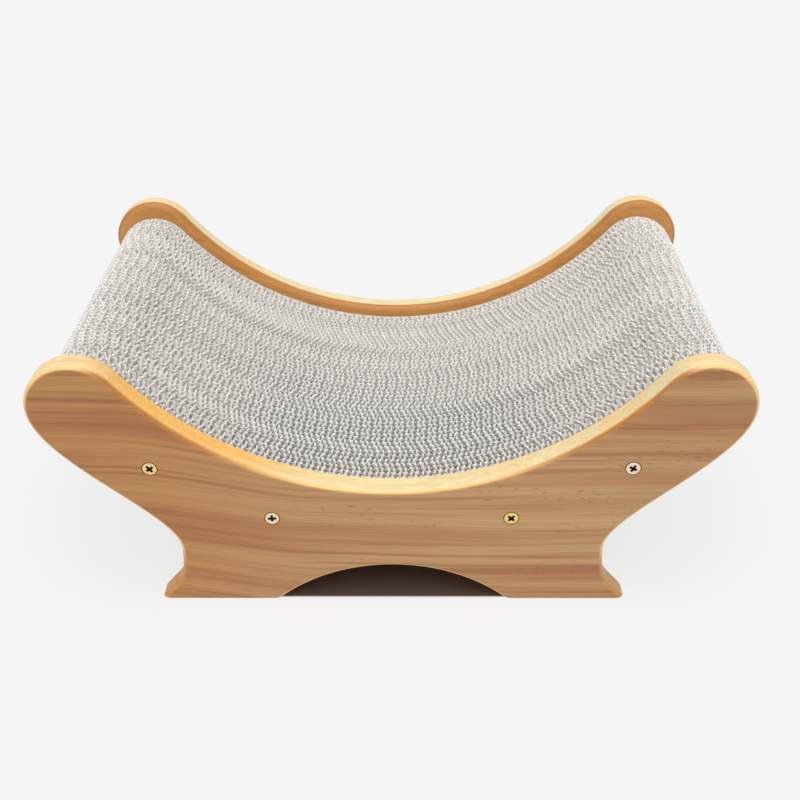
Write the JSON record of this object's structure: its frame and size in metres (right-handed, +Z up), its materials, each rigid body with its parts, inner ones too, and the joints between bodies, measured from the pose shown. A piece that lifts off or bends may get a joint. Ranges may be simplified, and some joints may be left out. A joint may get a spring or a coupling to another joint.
{
  "type": "cat scratcher",
  "caption": "Cradle-shaped cat scratcher: curved corrugated cardboard pad on cross rails between two pine side boards with rounded horns, flared feet and an arched base.",
  "frame": {"origin": "middle of the footprint, on the surface it stands on", "axes": "+X along the cradle, towards the right seen from the front; -Y is the front; +Z up"},
  "size_m": [0.45, 0.276, 0.182],
  "materials": {
    "oiled_pine": "oiled, satin, grain along the length",
    "rail_pine": "planed, bare",
    "yellow_zinc": "yellow zinc plated",
    "corrugated_cardboard": "raw cut edges of corrugated sheet"
  },
  "bodies": {
    "frame": {"front_side_board": "oiled_pine", "rear_side_board": "oiled_pine", "upper_left_rail": "rail_pine", "lower_left_rail": "rail_pine", "lower_right_rail": "rail_pine", "upper_right_rail": "rail_pine", "front_upper_left_screw": "yellow_zinc", "front_lower_left_screw": "yellow_zinc", "front_lower_right_screw": "yellow_zinc", "front_upper_right_screw": "yellow_zinc", "rear_upper_left_screw": "yellow_zinc", "rear_lower_left_screw": "yellow_zinc", "rear_lower_right_screw": "yellow_zinc", "rear_upper_right_screw": "yellow_zinc"},
    "pad": {"scratch_pad": "corrugated_cardboard"}
  },
  "joints": [
    {"name": "pad_lift", "type": "slide", "parent": "frame", "child": "pad", "axis": [0, 0, 1], "range_m": [0, 0.15]}
  ]
}
